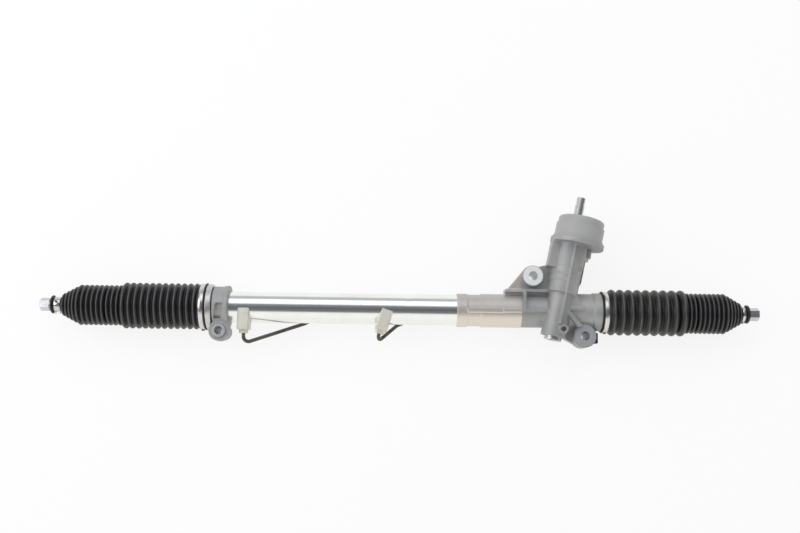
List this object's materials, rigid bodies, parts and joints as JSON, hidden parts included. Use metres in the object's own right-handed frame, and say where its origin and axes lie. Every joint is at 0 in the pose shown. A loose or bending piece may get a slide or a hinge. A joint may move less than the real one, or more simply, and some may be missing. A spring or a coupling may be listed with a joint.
{
  "type": "steering rack",
  "caption": "Hydraulic rack-and-pinion steering gear with cast pinion housing, steel cylinder tube, rubber bellows and short tie rods.",
  "frame": {"origin": "axis of the lower mount sleeve, level with the centre line of the rack", "axes": "+X along the rack towards the pinion end, +Y up the pinion tower, +Z from the mounting faces to the front, along the mount sleeves"},
  "size_m": [0.9893, 0.2082, 0.0868],
  "materials": {
    "cast_aluminium": "matt die-cast aluminium",
    "turned_aluminium": "turned aluminium",
    "zinc_tube": "zinc-plated drawn tube",
    "zinc_bush": "bluish zinc plating",
    "olive_zinc": "pale olive zinc plating",
    "dark_line": "dark coated steel pipe",
    "ground_steel": "ground steel",
    "machined_steel": "machined steel",
    "clamp_steel": "stainless band",
    "bellows_rubber": "moulded black rubber",
    "seal_rubber": "nitrile rubber",
    "cap_plastic": "light grey moulded plastic",
    "white_plastic": "natural bearing plastic",
    "black_plastic": "black plastic"
  },
  "bodies": {
    "housing": {"bottom_plug": "turned_aluminium", "bracket_bush": "zinc_bush", "cylinder_tube": "zinc_tube", "inner_rack_seal": "seal_rubber", "inner_seal_holder": "white_plastic", "left_bellows": "bellows_rubber", "left_bellows_clamp": "clamp_steel", "left_cylinder_line": "dark_line", "left_port_block": "olive_zinc", "line_clip": "black_plastic", "line_nuts": "olive_zinc", "lower_bearing_outer": "ground_steel", "lower_mount_bush": "zinc_bush", "mounting_bracket": "cast_aluminium", "outer_rack_seal": "seal_rubber", "pinion_housing": "cast_aluminium", "pinion_seal": "seal_rubber", "right_bellows": "bellows_rubber", "right_bellows_clamp": "clamp_steel", "right_cylinder_line": "dark_line", "right_port_block": "olive_zinc", "seal_retaining_ring": "ground_steel", "shaft_seal": "seal_rubber", "tube_end_bush": "turned_aluminium", "upper_mount_bush": "zinc_bush", "upper_pinion_bearing": "ground_steel", "valve_bearing": "ground_steel", "valve_cap": "cap_plastic", "yoke": "turned_aluminium", "yoke_adjuster": "machined_steel", "yoke_locknut": "machined_steel", "yoke_o_ring": "seal_rubber", "yoke_spring": "ground_steel"},
    "rack": {"rack_bar": "ground_steel", "piston": "machined_steel", "piston_ring": "white_plastic", "piston_clips": "ground_steel", "left_joint_housing": "machined_steel", "right_joint_housing": "machined_steel"},
    "pinion": {"pinion": "ground_steel", "valve_sleeve": "ground_steel", "valve_sleeve_rings": "white_plastic", "lower_bearing_inner": "ground_steel", "pinion_locknut": "ground_steel", "torsion_bar": "ground_steel"},
    "input_shaft": {"input_shaft": "ground_steel", "torsion_bar_pin": "ground_steel"},
    "bearing_balls": {"lower_bearing_balls": "ground_steel"},
    "left_seat": {"left_ball_seat": "white_plastic"},
    "left_rod": {"left_tie_rod": "ground_steel", "left_rod_clamp": "clamp_steel"},
    "right_seat": {"right_ball_seat": "white_plastic"},
    "right_rod": {"right_tie_rod": "ground_steel", "right_rod_clamp": "clamp_steel"}
  },
  "joints": [
    {"name": "rack_slide", "type": "slide", "parent": "housing", "child": "rack", "axis": [1, 0, 0], "range_m": [-0.0625, 0.0748], "deforming": ["left_bellows", "right_bellows"]},
    {"name": "pinion_spin", "type": "hinge", "parent": "housing", "child": "pinion", "pos_m": [-0.0358, 0.0342, 0.01603], "axis": [0.2079, 0.9781, 0], "range_deg": [-553, 462]},
    {"name": "bearing_spin", "type": "hinge", "parent": "housing", "child": "bearing_balls", "pos_m": [-0.0358, 0.0342, 0.01603], "axis": [0.2079, 0.9781, 0], "range_deg": [-221, 185]},
    {"name": "valve_twist", "type": "hinge", "parent": "pinion", "child": "input_shaft", "pos_m": [-0.0358, 0.0342, 0.01603], "axis": [0.2079, 0.9781, 0], "range_deg": [-4, 4], "stiffness_Nm_per_rad": 40},
    {"name": "left_rod_rise", "type": "hinge", "parent": "rack", "child": "left_seat", "pos_m": [-0.631, 0.0342, 0], "axis": [0, 1, 0], "range_deg": [-20, 20], "deforming": ["left_bellows"]},
    {"name": "left_rod_swing", "type": "hinge", "parent": "left_seat", "child": "left_rod", "pos_m": [-0.631, 0.0342, 0], "axis": [0, 0, 1], "range_deg": [-20, 20], "deforming": ["left_bellows"]},
    {"name": "right_rod_rise", "type": "hinge", "parent": "rack", "child": "right_seat", "pos_m": [0.1267, 0.0342, 0], "axis": [0, 1, 0], "range_deg": [-20, 20], "deforming": ["right_bellows"]},
    {"name": "right_rod_swing", "type": "hinge", "parent": "right_seat", "child": "right_rod", "pos_m": [0.1267, 0.0342, 0], "axis": [0, 0, 1], "range_deg": [-20, 20], "deforming": ["right_bellows"]}
  ],
  "couplings": [
    {"joint": "pinion_spin", "follows": "rack_slide", "rad_per_m": -128.7},
    {"joint": "bearing_spin", "follows": "rack_slide", "rad_per_m": -51.205}
  ]
}
